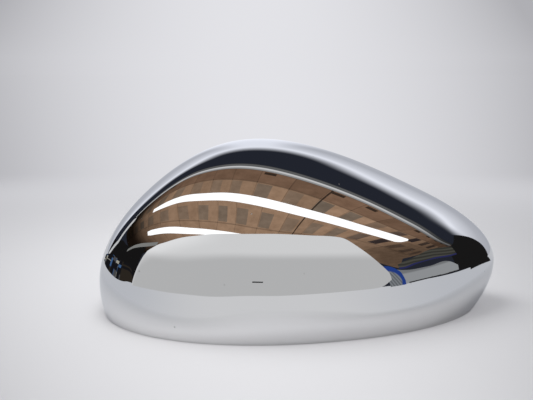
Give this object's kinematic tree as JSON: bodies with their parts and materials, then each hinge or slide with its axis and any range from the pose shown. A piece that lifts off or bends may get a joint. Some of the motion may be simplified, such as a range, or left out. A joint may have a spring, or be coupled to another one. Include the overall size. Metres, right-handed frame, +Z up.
{
  "type": "wing mirror cover",
  "caption": "Chrome-plated moulded cover for a car's wing mirror: a hollow double-curved dome with an off-centre peak, a round end, a narrow nose and an open rim.",
  "frame": {"origin": "middle of the cover's length and width, on the plane of its open rim", "axes": "+X towards the narrow nose, -Y towards the more curved long side, +Z up to the crown, with the rim on Z = 0"},
  "size_m": [0.205, 0.1168, 0.0878],
  "materials": {
    "chrome_plating": "mirror-bright chrome plating on moulded plastic"
  },
  "bodies": {
    "root": {"mirror_cover": "chrome_plating"}
  },
  "joints": []
}
